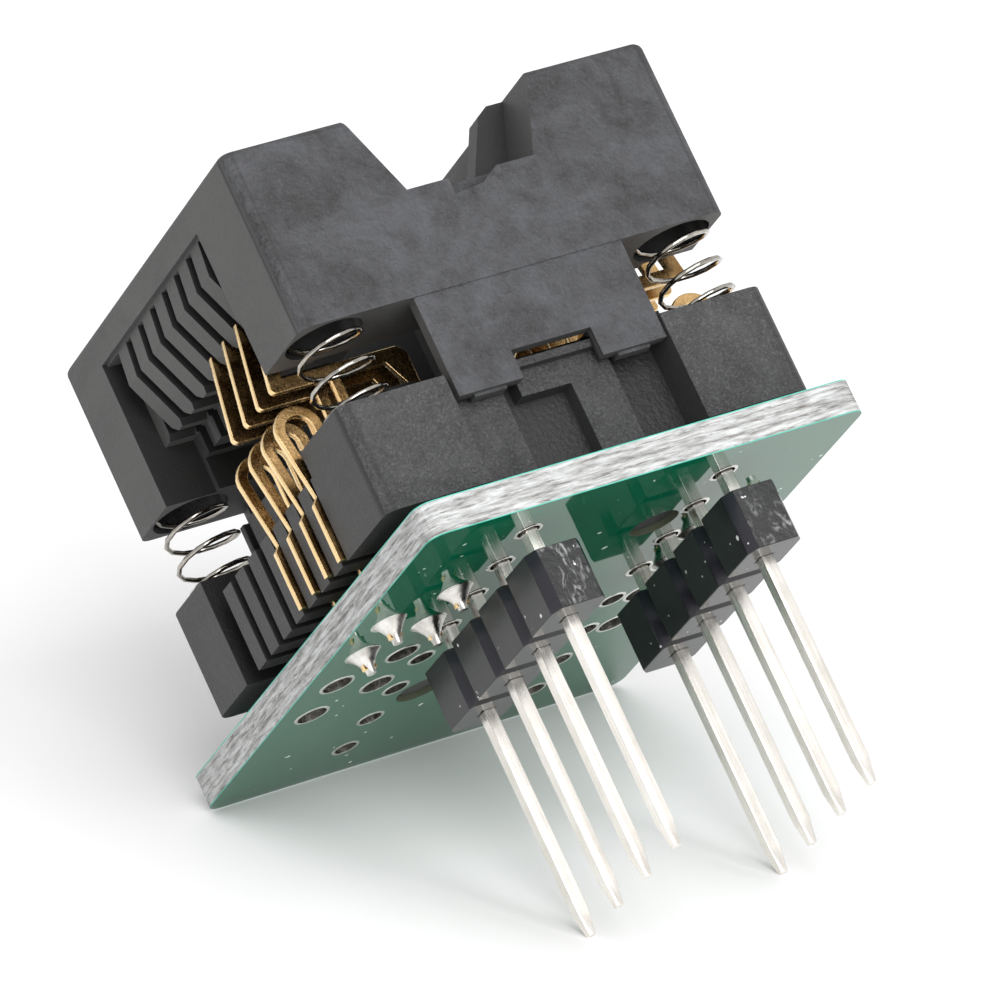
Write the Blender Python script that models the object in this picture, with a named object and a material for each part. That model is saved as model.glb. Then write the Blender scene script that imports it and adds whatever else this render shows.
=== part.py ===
"""Programming adapter: an open-top socket for a small outline chip, on a board with two rows of header pins.

Metres, +Z up. The origin is the middle of the pin field, on the underside of the two header strips.
The clip that is easiest to reach faces -Y, the sprung cover slides down along -Z.
"""

import math

import bmesh
import bpy
from mathutils import Matrix, Vector

# Header pins and the strips that carry them
PIN_PITCH = 0.00254
PINS_PER_ROW = 4
PIN_ROW_X = 0.00381
PIN_SIDE = 0.00046
PIN_REACH = 0.00838
PIN_TAPER = 0.0009
PIN_TIP_SIDE = 0.00026
PIN_STAND = 0.00045
PIN_FIT = 0.00004
HEADER_HEIGHT = 0.00215
HEADER_WIDTH = 0.0021
HEADER_WAIST_DEPTH = 0.00028
HEADER_WAIST_RUN = 0.0004
HEADER_GROOVE_DEPTH = 0.00015
HEADER_GROOVE_WIDTH = 0.0005
HEADER_TO_BOARD = 0.00105

# Circuit board
BOARD_THICKNESS = 0.0012
BOARD_WIDTH = 0.0169
BOARD_LENGTH = 0.0226
BOARD_Y = 0.00516
BOARD_CORNER_RADIUS = 0.0006
PIN_HOLES_PER_ROW = 8
PIN_HOLE_RADIUS = 0.00044
TAIL_HOLE_RADIUS = 0.00057

# Socket place and contact pattern
SOCKET_Y = 0.0046
CONTACT_PITCH = 0.00127
CONTACTS_PER_SIDE = 8
CONTACTS_FITTED = 4
OUTER_TAIL_X = 0.00705
INNER_TAIL_X = 0.005

# Socket base
BASE_STANDOFF = 0.00076
BASE_HALF_WIDTH = 0.0083
BASE_HALF_LENGTH = 0.00845
BASE_HEIGHT = 0.00397
BASE_CORNER_RADIUS = 0.0005
COMB_HEIGHT = 0.00304
SLOT_WIDTH = 0.00045
SLOT_DEPTH = 0.0038
LONG_BLOCK = 0.0036
SHORT_BLOCK = 0.00303
CORE_HALF_WIDTH = 0.0063
CORE_HALF_LENGTH = 0.005
CORE_RISE = 0.00127
LEDGE_HALF_WIDTH = 0.0034
LEDGE_DEPTH = 0.00045
NEST_HALF_WIDTH = 0.002
NEST_DEPTH = 0.0003
NEST_END_WALL = 0.00015
PEG_X = 0.00245
PEG_Y = 0.00525
PEG_RADIUS = 0.00082
PEG_FIT = 0.00008
PEG_END_GAP = 0.0002
SHOULDER_RADIUS = 0.00105
SEAT_GAP = 0.00005

# Clip recess in each end of the base
RECESS_FIT = 0.00015
RECESS_DEPTH = 0.00085
CHANNEL_DEPTH = 0.00155
CHANNEL_LEFT_X = -0.002
CHANNEL_WIDTH = 0.0025
POCKET_LEFT_X = 0.0022
BOSS_WIDTH = 0.00185
BOSS_LEFT_X = -0.0014
BOSS_BOTTOM = 0.00277
BOSS_SET_BACK = 0.0006
LIP_HEIGHT = 0.0003

# Cover
COVER_TRAVEL = 0.0025
COVER_GAP = 0.00287
COVER_HEIGHT = 0.00665
COVER_HALF_WIDTH = 0.0083
COVER_HALF_LENGTH = 0.0084
COVER_CORNER_RADIUS = 0.0006
COVER_EDGE_RADIUS = 0.00035
VALLEY_TOP_HALF = 0.00367
VALLEY_FLOOR_HALF = 0.00245
VALLEY_DEPTH = 0.00292
POCKET_HALF_WIDTH = 0.0032
POCKET_HALF_LENGTH = 0.0052
TAB_THICKNESS = 0.00085
TAB_INNER_X = 0.00105
TAB_SLOPE_RUN = 0.00115
TAB_SET_BACK = 0.00015
TAB_TOP_DROP = 0.00015
WINDOW_HALF_LENGTH = 0.00472
WINDOW_HEIGHT = 0.002
WINDOW_SLOT_TOP = 0.0007
FINGER_FACE = 0.00215
FINGER_TIP_X = 0.0073
FINGER_WIDTH = 0.0007
HOLLOW_FIT = 0.0002
LEVER_CLEARANCE = 0.0003

# Clip plates on the cover's ends
CLIP_HALF_WIDTH = 0.00405
CLIP_THICKNESS = 0.00045
CLIP_PROUD = 0.0001
CLIP_LENGTH = 0.0037
CLIP_FOOT_WIDTH = 0.00245
CLIP_NOTCH_HEIGHT = 0.00105
BARB_WIDTH = 0.0016
BARB_HEIGHT = 0.0005
BARB_DEPTH = 0.0003
BARB_FIT = 0.00005

# Return springs
SPRING_X = 0.0068
SPRING_Y = 0.00685
SPRING_RADIUS = 0.00122
SPRING_WIRE_RADIUS = 0.00011
SPRING_PITCH = 0.00105
SPRING_BORE_FIT = 0.00007
SPRING_WELL_DEPTH = 0.0019
SPRING_BORE_DEPTH = 0.002
SPRING_POINTS_PER_TURN = 14

# Contacts, as distances outward from the socket's middle plane and up from the base's underside
CONTACT_THICKNESS = 0.00025
CONTACT_STRIP = 0.00038
FOOT_BOTTOM = 0.00011
FOOT_HEIGHT = 0.00223
FOOT_WIDTH = 0.0006
FOOT_PROUD = 0.0002
FOOT_STEP = 0.0002
BAR_HEIGHT = 0.00058
TAIL_WIDTH = 0.0005
TAIL_REACH = 0.0006
ARCH_TOP = 0.00571
ARCH_RADIUS = 0.00069
ARCH_OUTER_X = 0.00867
LOOP_BOTTOM = 0.0029
LOOP_RADIUS = 0.00066
LEVER_BOTTOM = 0.00624
LEVER_HEIGHT = 0.0005
LEVER_CORNER_X = 0.00818
LEVER_CORNER_RADIUS = 0.0002
LEVER_LEG_WIDTH = 0.0006
LEVER_LEG_HEIGHT = 0.0032
LEVER_LEG_LEAN = 0.00053
NOSE_X = 0.0029
NOSE_DROP = 0.0012
NOSE_WIDTH = 0.0003

# Solder joints
TAIL_SOLDER_RADIUS = 0.00062
TAIL_SOLDER_TIP = 0.00022
TAIL_SOLDER_HEIGHT = 0.0008
PIN_SOLDER_RADIUS = 0.00038
PIN_SOLDER_TIP = 0.0003
PIN_SOLDER_HEIGHT = 0.0005
SOLDER_FIT = 0.00003

# Drawing aids
OVERCUT = 0.0005
MERGE = 1e-7
SMOOTH_ANGLE = math.radians(35)

# Levels and places that follow from the values above
BOARD_BOTTOM = HEADER_HEIGHT + HEADER_TO_BOARD
BOARD_TOP = BOARD_BOTTOM + BOARD_THICKNESS
BASE_BOTTOM = BOARD_TOP + BASE_STANDOFF
BASE_TOP = BASE_BOTTOM + BASE_HEIGHT
COMB_TOP = BASE_BOTTOM + COMB_HEIGHT
CORE_TOP = BASE_TOP + CORE_RISE
LEDGE_TOP = CORE_TOP - LEDGE_DEPTH
COVER_BOTTOM = BASE_TOP + COVER_GAP
COVER_TOP = COVER_BOTTOM + COVER_HEIGHT
VALLEY_FLOOR = COVER_TOP - VALLEY_DEPTH
CLIP_BOTTOM = COVER_BOTTOM - CLIP_LENGTH
LEVER_TOP = BASE_BOTTOM + LEVER_BOTTOM + LEVER_HEIGHT
LEG_TOP = BASE_BOTTOM + LEVER_BOTTOM + LEVER_LEG_HEIGHT
SLOT_INNER_X = BASE_HALF_WIDTH - SLOT_DEPTH
SPRING_WELL_FLOOR = BASE_TOP - SPRING_WELL_DEPTH
SPRING_BORE_CEILING = COVER_BOTTOM + SPRING_BORE_DEPTH
SPRING_BORE_RADIUS = SPRING_RADIUS + SPRING_WIRE_RADIUS + SPRING_BORE_FIT
SOCKET_AXIS = Matrix.Translation((0.0, SOCKET_Y, 0.0))


def remove_everything():
    """Start from an empty scene."""
    for item in list(bpy.data.objects):
        bpy.data.objects.remove(item, do_unlink=True)


def new_collection(name):
    """Return a collection linked to the scene."""
    collection = bpy.data.collections.new(name)
    bpy.context.scene.collection.children.link(collection)
    return collection


def new_material(name, colour, roughness, metallic=0.0):
    """Return a Principled material."""
    material = bpy.data.materials.new(name)
    material.use_nodes = True
    shader = material.node_tree.nodes["Principled BSDF"]
    shader.inputs["Base Color"].default_value = (*colour, 1.0)
    shader.inputs["Roughness"].default_value = roughness
    shader.inputs["Metallic"].default_value = metallic
    return material


def add_object(name, mesh, collection, material=None, smooth=False):
    """Link a mesh as a named object."""
    item = bpy.data.objects.new(name, mesh)
    collection.objects.link(item)
    if material is not None and not mesh.materials:
        mesh.materials.append(material)
    if smooth:
        mesh.shade_smooth()
        mesh.set_sharp_from_angle(angle=SMOOTH_ANGLE)
    return item


def mesh_from(bm, name):
    """Close a bmesh into a mesh whose faces point outward."""
    bmesh.ops.recalc_face_normals(bm, faces=bm.faces)
    mesh = bpy.data.meshes.new(name)
    bm.to_mesh(mesh)
    bm.free()
    return mesh


def box_mesh(name, low, high):
    """A box between two corners."""
    low = Vector(low)
    high = Vector(high)
    bm = bmesh.new()
    size = Matrix.Diagonal((*(high - low), 1.0))
    bmesh.ops.create_cube(bm, size=1.0, matrix=Matrix.Translation((low + high) / 2) @ size)
    return mesh_from(bm, name)


def rods_mesh(name, centres, radius, low, high, sides=24, top_radius=None):
    """Upright rods or cones of one size at several places."""
    bm = bmesh.new()
    for x, y in centres:
        bmesh.ops.create_cone(
            bm,
            cap_ends=True,
            segments=sides,
            radius1=radius,
            radius2=radius if top_radius is None else top_radius,
            depth=high - low,
            matrix=Matrix.Translation((x, y, (low + high) / 2)),
        )
    return mesh_from(bm, name)


def boxes_mesh(name, boxes):
    """Several boxes that don't touch, each given by its two corners."""
    bm = bmesh.new()
    for low, high in boxes:
        low = Vector(low)
        high = Vector(high)
        size = Matrix.Diagonal((*(high - low), 1.0))
        bmesh.ops.create_cube(bm, size=1.0, matrix=Matrix.Translation((low + high) / 2) @ size)
    return mesh_from(bm, name)


def prism_mesh(name, outline, start, end, along):
    """A flat outline, drawn across one axis and given its thickness along it."""
    curve = bpy.data.curves.new(name, "CURVE")
    curve.dimensions = "2D"
    curve.fill_mode = "BOTH"
    curve.extrude = (end - start) / 2
    spline = curve.splines.new("POLY")
    spline.points.add(len(outline) - 1)
    for point, place in zip(spline.points, outline):
        point.co = (place[0], place[1], 0.0, 1.0)
    spline.use_cyclic_u = True
    drawn = bpy.data.objects.new(name, curve)
    bpy.context.scene.collection.objects.link(drawn)
    bpy.context.view_layer.update()
    evaluated = drawn.evaluated_get(bpy.context.evaluated_depsgraph_get())
    mesh = bpy.data.meshes.new_from_object(evaluated)
    bpy.data.objects.remove(drawn, do_unlink=True)
    bpy.data.curves.remove(curve)
    turns = {
        "x": Matrix(((0, 0, 1, 0), (1, 0, 0, 0), (0, 1, 0, 0), (0, 0, 0, 1))),
        "y": Matrix(((1, 0, 0, 0), (0, 0, -1, 0), (0, 1, 0, 0), (0, 0, 0, 1))),
        "z": Matrix.Identity(4),
    }
    middle = (start + end) / 2
    shift = {"x": (middle, 0, 0), "y": (0, middle, 0), "z": (0, 0, middle)}[along]
    bm = bmesh.new()
    bm.from_mesh(mesh)
    bpy.data.meshes.remove(mesh)
    bmesh.ops.remove_doubles(bm, verts=bm.verts, dist=MERGE)
    bm.transform(Matrix.Translation(shift) @ turns[along])
    return mesh_from(bm, name)


def arc(centre, radius, start, end, steps):
    """Points along an arc, angles in degrees."""
    points = []
    for step in range(steps + 1):
        angle = math.radians(start + (end - start) * step / steps)
        points.append((centre[0] + radius * math.cos(angle), centre[1] + radius * math.sin(angle)))
    return points


def round_upright_edges(mesh, radius, segments, keep=None):
    """Round the upright edges of a mesh, or those that keep() picks."""
    bm = bmesh.new()
    bm.from_mesh(mesh)
    edges = []
    for edge in bm.edges:
        first, second = (vertex.co for vertex in edge.verts)
        upright = abs(first.x - second.x) < MERGE and abs(first.y - second.y) < MERGE
        if upright and (keep is None or keep(first)):
            edges.append(edge)
    bmesh.ops.bevel(bm, geom=edges, offset=radius, segments=segments, profile=0.5, affect="EDGES")
    bm.to_mesh(mesh)
    bm.free()


def turned_half_way(mesh, name):
    """A copy of a mesh, turned half way round the socket's upright axis."""
    copy = mesh.copy()
    copy.name = name
    copy.transform(SOCKET_AXIS @ Matrix.Rotation(math.pi, 4, "Z") @ SOCKET_AXIS.inverted())
    return copy


class Body:
    """A solid that is joined with and cut by other shapes."""

    def __init__(self, name, mesh, parts, cutters, material):
        self.cutters = cutters
        self.item = add_object(name, mesh, parts, material)

    def combine(self, operation, mesh):
        tool = add_object(mesh.name, mesh, self.cutters)
        tool.hide_render = True
        tool.display_type = "WIRE"
        step = self.item.modifiers.new(mesh.name, "BOOLEAN")
        step.operation = operation
        step.solver = "EXACT"
        step.object = tool

    def cut(self, *meshes):
        for mesh in meshes:
            self.combine("DIFFERENCE", mesh)

    def join(self, *meshes):
        for mesh in meshes:
            self.combine("UNION", mesh)


def pin_rows(count):
    """Centres of the first pins or holes of both rows, left row first."""
    first = -(PINS_PER_ROW - 1) / 2 * PIN_PITCH
    return [(side * PIN_ROW_X, first + index * PIN_PITCH) for side in (-1, 1) for index in range(count)]


def contact_ys():
    """Places of the contacts along the socket, nearest -Y first."""
    first = SOCKET_Y - (CONTACTS_PER_SIDE - 1) / 2 * CONTACT_PITCH
    return [first + index * CONTACT_PITCH for index in range(CONTACTS_PER_SIDE)]


def tail_place(side, index):
    """Centre of a contact's tail: the tails stand in two staggered columns a side."""
    outer = (index % 2 == 0) if side > 0 else (index % 2 == 1)
    return (side * (OUTER_TAIL_X if outer else INNER_TAIL_X), contact_ys()[index])


def peg_places():
    return [(PEG_X, SOCKET_Y - PEG_Y), (-PEG_X, SOCKET_Y + PEG_Y)]


def spring_places():
    return [(sx * SPRING_X, SOCKET_Y + sy * SPRING_Y) for sy in (-1, 1) for sx in (-1, 1)]


def header_outline(x):
    """Four pin units in a row, waisted where they snap apart."""
    half = HEADER_WIDTH / 2
    waist = half - HEADER_WAIST_DEPTH
    side = []
    for index in range(PINS_PER_ROW):
        y = (index - PINS_PER_ROW / 2) * PIN_PITCH
        if index == 0:
            side.append((waist, y))
        side += [(half, y + HEADER_WAIST_RUN), (half, y + PIN_PITCH - HEADER_WAIST_RUN), (waist, y + PIN_PITCH)]
    return [(x + u, y) for u, y in side] + [(x - u, y) for u, y in reversed(side)]


def make_headers(parts, cutters, material):
    for name, x in (("header_strip_left", -PIN_ROW_X), ("header_strip_right", PIN_ROW_X)):
        strip = Body(name, prism_mesh(name, header_outline(x), 0.0, HEADER_HEIGHT, "z"), parts, cutters, material)
        hole = PIN_SIDE / 2 + PIN_FIT
        places = [place for place in pin_rows(PINS_PER_ROW) if place[0] * x > 0]
        strip.cut(boxes_mesh(name + "_holes", [
            ((px - hole, py - hole, -OVERCUT), (px + hole, py + hole, HEADER_HEIGHT + OVERCUT)) for px, py in places
        ]))
        for index in range(1, PINS_PER_ROW):
            y = (index - PINS_PER_ROW / 2) * PIN_PITCH
            for level, inward in ((0.0, 1), (HEADER_HEIGHT, -1)):
                half = HEADER_GROOVE_WIDTH / 2
                outer = level - inward * HEADER_GROOVE_DEPTH
                groove = [(y, level + inward * HEADER_GROOVE_DEPTH), (y - 2 * half, outer), (y + 2 * half, outer)]
                strip.cut(prism_mesh(name + "_groove", groove, x - HEADER_WIDTH, x + HEADER_WIDTH, "x"))


def pin_mesh():
    """A square pin with a tapered tip, its origin level with the strip's underside."""
    low = -PIN_REACH
    high = BOARD_TOP + PIN_STAND
    half = PIN_SIDE / 2
    bm = bmesh.new()
    bm.from_mesh(box_mesh("pin_bar", (-half, -half, low), (half, half, high)))
    taper = low + PIN_TAPER
    bmesh.ops.bisect_plane(bm, geom=bm.verts[:] + bm.edges[:] + bm.faces[:], plane_co=(0, 0, taper), plane_no=(0, 0, 1))
    for vertex in bm.verts:
        if vertex.co.z < taper - MERGE:
            vertex.co.x *= PIN_TIP_SIDE / PIN_SIDE
            vertex.co.y *= PIN_TIP_SIDE / PIN_SIDE
    return mesh_from(bm, "header_pin")


def make_pins(parts, cutters, pin_metal, solder):
    bar = pin_mesh()
    low = BOARD_TOP + SEAT_GAP
    hole = PIN_SIDE / 2 + SOLDER_FIT
    hole_top = BOARD_TOP + PIN_STAND + SOLDER_FIT
    for index, (x, y) in enumerate(pin_rows(PINS_PER_ROW)):
        label = ("left", "right")[index // PINS_PER_ROW] + "_%d" % (index % PINS_PER_ROW + 1)
        pin = add_object("header_pin_" + label, bar, parts, pin_metal)
        pin.location = (x, y, 0.0)
        name = "pin_solder_" + label
        top = low + PIN_SOLDER_HEIGHT
        cone = rods_mesh(name, [(x, y)], PIN_SOLDER_RADIUS, low, top, 16, PIN_SOLDER_TIP)
        joint = Body(name, cone, parts, cutters, solder)
        joint.cut(box_mesh(name + "_hole", (x - hole, y - hole, low - OVERCUT), (x + hole, y + hole, hole_top)))


def make_board(parts, cutters, material):
    half_x = BOARD_WIDTH / 2
    half_y = BOARD_LENGTH / 2
    slab = box_mesh("circuit_board", (-half_x, BOARD_Y - half_y, BOARD_BOTTOM), (half_x, BOARD_Y + half_y, BOARD_TOP))
    round_upright_edges(slab, BOARD_CORNER_RADIUS, 4)
    board = Body("circuit_board", slab, parts, cutters, material)
    low = BOARD_BOTTOM - OVERCUT
    high = BOARD_TOP + OVERCUT
    board.cut(
        rods_mesh("board_pin_holes", pin_rows(PIN_HOLES_PER_ROW), PIN_HOLE_RADIUS, low, high, 16),
        rods_mesh("board_tail_holes", tails(CONTACTS_PER_SIDE), TAIL_HOLE_RADIUS, low, high, 18),
        rods_mesh("board_peg_holes", peg_places(), PEG_RADIUS + PEG_FIT, low, high, 28),
    )


def tails(count):
    """Tail centres of the first contacts of both sides."""
    return [tail_place(side, index) for side in (-1, 1) for index in range(count)]


def contact_outline(tail):
    """One bent spring contact as (outward, up) points: tail, bar, foot, arch, loop and lever."""
    z = BASE_BOTTOM
    half = CONTACT_STRIP / 2
    foot_outer = BASE_HALF_WIDTH + FOOT_PROUD
    foot_inner = foot_outer - FOOT_WIDTH
    foot_bottom = z + FOOT_BOTTOM
    foot_top = z + FOOT_HEIGHT
    bar_top = foot_bottom + BAR_HEIGHT
    arch = (ARCH_OUTER_X - half - ARCH_RADIUS, z + ARCH_TOP - half - ARCH_RADIUS)
    loop = (arch[0] - ARCH_RADIUS - LOOP_RADIUS, z + LOOP_BOTTOM + LOOP_RADIUS + half)
    riser = loop[0] - LOOP_RADIUS
    lever_bottom = z + LEVER_BOTTOM
    lever_top = lever_bottom + LEVER_HEIGHT
    leg_top = z + LEVER_BOTTOM + LEVER_LEG_HEIGHT
    neck = foot_top + FOOT_STEP
    nose_bottom = lever_bottom - NOSE_DROP
    corner = (LEVER_CORNER_X - LEVER_CORNER_RADIUS, lever_bottom + LEVER_CORNER_RADIUS)
    points = [
        (tail - TAIL_WIDTH / 2, BOARD_BOTTOM - TAIL_REACH),
        (tail - TAIL_WIDTH / 2, bar_top),
        (foot_inner, bar_top),
        (foot_inner, foot_top),
        (foot_outer - FOOT_STEP - CONTACT_STRIP, neck),
    ]
    points += arc(arch, ARCH_RADIUS - half, 0, 180, 10)
    points += arc(loop, LOOP_RADIUS + half, 0, -180, 10)
    points += [
        (riser - half, lever_bottom),
        (NOSE_X + 3 * NOSE_WIDTH, lever_bottom),
        (NOSE_X + NOSE_WIDTH, nose_bottom),
        (NOSE_X, nose_bottom),
        (NOSE_X, lever_top - NOSE_WIDTH),
        (NOSE_X + NOSE_WIDTH, lever_top),
        (LEVER_CORNER_X - LEVER_LEG_WIDTH, lever_top),
        (LEVER_CORNER_X - LEVER_LEG_LEAN - LEVER_LEG_WIDTH, leg_top),
        (LEVER_CORNER_X - LEVER_LEG_LEAN, leg_top),
    ]
    points += arc(corner, LEVER_CORNER_RADIUS, 0, -90, 4)
    points += [(riser + half, lever_bottom)]
    points += arc(loop, LOOP_RADIUS - half, 180, 360, 10)
    points += arc(arch, ARCH_RADIUS + half, 180, 0, 12)
    points += [
        (foot_outer - FOOT_STEP, neck),
        (foot_outer, foot_top),
        (foot_outer, foot_bottom),
        (tail + TAIL_WIDTH / 2, foot_bottom),
        (tail + TAIL_WIDTH / 2, BOARD_BOTTOM - TAIL_REACH),
    ]
    return points


def make_contacts(parts, cutters, spring_metal, solder):
    half = CONTACT_THICKNESS / 2
    hole_x = TAIL_WIDTH / 2 + SOLDER_FIT
    hole_y = half + SOLDER_FIT
    for side, label in ((-1, "left"), (1, "right")):
        for index in range(CONTACTS_FITTED):
            x, y = tail_place(side, index)
            name = "contact_%s_%d" % (label, index + 1)
            outline = [(side * u, z) for u, z in contact_outline(abs(x))]
            strip = prism_mesh(name, outline, -half, half, "y")
            contact = add_object(name, strip, parts, spring_metal)
            contact.location = (0.0, y, 0.0)
            name = "tail_solder_%s_%d" % (label, index + 1)
            high = BOARD_BOTTOM - SEAT_GAP
            low = high - TAIL_SOLDER_HEIGHT
            cone = rods_mesh(name, [(x, y)], TAIL_SOLDER_TIP, low, high, 18, TAIL_SOLDER_RADIUS)
            joint = Body(name, cone, parts, cutters, solder)
            bottom = BOARD_BOTTOM - TAIL_REACH - SOLDER_FIT
            hole = ((x - hole_x, y - hole_y, bottom), (x + hole_x, y + hole_y, high + OVERCUT))
            joint.cut(box_mesh(name + "_hole", *hole))


def slot_boxes(side, inner, low, high):
    """Boxes for the slots of one side, from an inner plane out through the side face."""
    half = SLOT_WIDTH / 2
    outer = BASE_HALF_WIDTH + OVERCUT
    ends = sorted((side * inner, side * outer))
    return [((ends[0], y - half, low), (ends[1], y + half, high)) for y in contact_ys()]


def make_base(parts, cutters, material):
    low_y = SOCKET_Y - BASE_HALF_LENGTH
    high_y = SOCKET_Y + BASE_HALF_LENGTH
    block = box_mesh("socket_base", (-BASE_HALF_WIDTH, low_y, BASE_BOTTOM), (BASE_HALF_WIDTH, high_y, BASE_TOP))
    round_upright_edges(block, BASE_CORNER_RADIUS, 3)
    base = Body("socket_base", block, parts, cutters, material)

    # The comb is lower than the corner blocks, one of which is longer on each side
    comb = box_mesh(
        "comb_clearance",
        (-BASE_HALF_WIDTH - OVERCUT, low_y + LONG_BLOCK, COMB_TOP),
        (OVERCUT - CORE_HALF_WIDTH, high_y - SHORT_BLOCK, BASE_TOP + OVERCUT),
    )
    base.cut(comb, turned_half_way(comb, "comb_clearance_right"))
    last_slot = contact_ys()[-1]
    relief = box_mesh(
        "comb_end_relief",
        (-BASE_HALF_WIDTH - OVERCUT, last_slot, BASE_BOTTOM - OVERCUT),
        (-CORE_HALF_WIDTH - 2 * RECESS_FIT, high_y - SHORT_BLOCK, COMB_TOP + OVERCUT),
    )
    base.cut(relief, turned_half_way(relief, "comb_end_relief_right"))

    core = box_mesh(
        "core",
        (-CORE_HALF_WIDTH, SOCKET_Y - CORE_HALF_LENGTH, BASE_BOTTOM + OVERCUT),
        (CORE_HALF_WIDTH, SOCKET_Y + CORE_HALF_LENGTH, CORE_TOP),
    )
    base.join(core)
    reach = CORE_HALF_LENGTH + OVERCUT
    base.cut(box_mesh(
        "lead_ledge",
        (-LEDGE_HALF_WIDTH, SOCKET_Y - reach, LEDGE_TOP),
        (LEDGE_HALF_WIDTH, SOCKET_Y + reach, CORE_TOP + OVERCUT),
    ))
    nest_half = CORE_HALF_LENGTH - NEST_END_WALL
    base.cut(box_mesh(
        "nest",
        (-NEST_HALF_WIDTH, SOCKET_Y - nest_half, LEDGE_TOP - NEST_DEPTH),
        (NEST_HALF_WIDTH, SOCKET_Y + nest_half, LEDGE_TOP + OVERCUT),
    ))
    low = BASE_BOTTOM - OVERCUT
    for side, label in ((-1, "left"), (1, "right")):
        base.cut(boxes_mesh("base_slots_" + label, slot_boxes(side, SLOT_INNER_X, low, CORE_TOP + OVERCUT)))

    base.cut(rods_mesh("spring_wells", spring_places(), SPRING_BORE_RADIUS, SPRING_WELL_FLOOR, BASE_TOP + OVERCUT, 28))
    recess = recess_meshes(low_y)
    for mesh in recess:
        base.cut(mesh, turned_half_way(mesh, mesh.name + "_far"))

    shoulder_low = BOARD_TOP + SEAT_GAP
    inside = BASE_BOTTOM + OVERCUT
    base.join(
        rods_mesh("peg_shoulders", peg_places(), SHOULDER_RADIUS, shoulder_low, inside, 24),
        rods_mesh("pegs", peg_places(), PEG_RADIUS, BOARD_BOTTOM + PEG_END_GAP, inside + OVERCUT, 28),
    )


def recess_meshes(face):
    """Cuts for the clip recess in the -Y end face: the feet slide in it, their barbs stop under two lips."""
    low = BASE_BOTTOM - OVERCUT
    high = BASE_TOP + OVERCUT
    half = CLIP_HALF_WIDTH + RECESS_FIT
    front = face - OVERCUT
    plate = face + CLIP_THICKNESS - CLIP_PROUD + BARB_DEPTH / 2
    lip_low = BASE_TOP - LIP_HEIGHT
    channel_right = CHANNEL_LEFT_X + CHANNEL_WIDTH
    boss_low = BASE_BOTTOM + BOSS_BOTTOM
    return [
        box_mesh("clip_slot", (-half, front, low), (half, plate, high)),
        box_mesh("foot_run", (-half, front, low), (half, face + RECESS_DEPTH, lip_low)),
        box_mesh("channel", (CHANNEL_LEFT_X, front, low), (channel_right, face + CHANNEL_DEPTH, boss_low)),
        box_mesh("channel_top", (CHANNEL_LEFT_X, front, boss_low - OVERCUT / 2),
                 (BOSS_LEFT_X, face + CHANNEL_DEPTH, lip_low)),
        box_mesh("deep_pocket", (POCKET_LEFT_X, front, low), (half, face + CHANNEL_DEPTH, lip_low)),
    ]


def cover_outline():
    """The cover's section across: two walls with a sloping valley between them."""
    right = [
        (COVER_HALF_WIDTH, COVER_BOTTOM),
        (COVER_HALF_WIDTH, COVER_TOP),
        (VALLEY_TOP_HALF, COVER_TOP),
        (VALLEY_FLOOR_HALF, VALLEY_FLOOR),
    ]
    return right + [(-x, z) for x, z in reversed(right)]


def window_outline():
    """The side window and the sloped lower halves of the fingers above it."""
    outer = COVER_HALF_WIDTH + OVERCUT
    window_top = COVER_BOTTOM + WINDOW_HEIGHT
    face_low = COVER_TOP - WINDOW_SLOT_TOP - (COVER_HALF_WIDTH - FINGER_TIP_X) - FINGER_FACE + FINGER_WIDTH
    inner = CORE_HALF_WIDTH
    return [
        (inner, COVER_BOTTOM - OVERCUT),
        (outer, COVER_BOTTOM - OVERCUT),
        (outer, face_low),
        (COVER_HALF_WIDTH, face_low),
        (FINGER_TIP_X, window_top),
        (inner, window_top),
    ]


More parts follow.
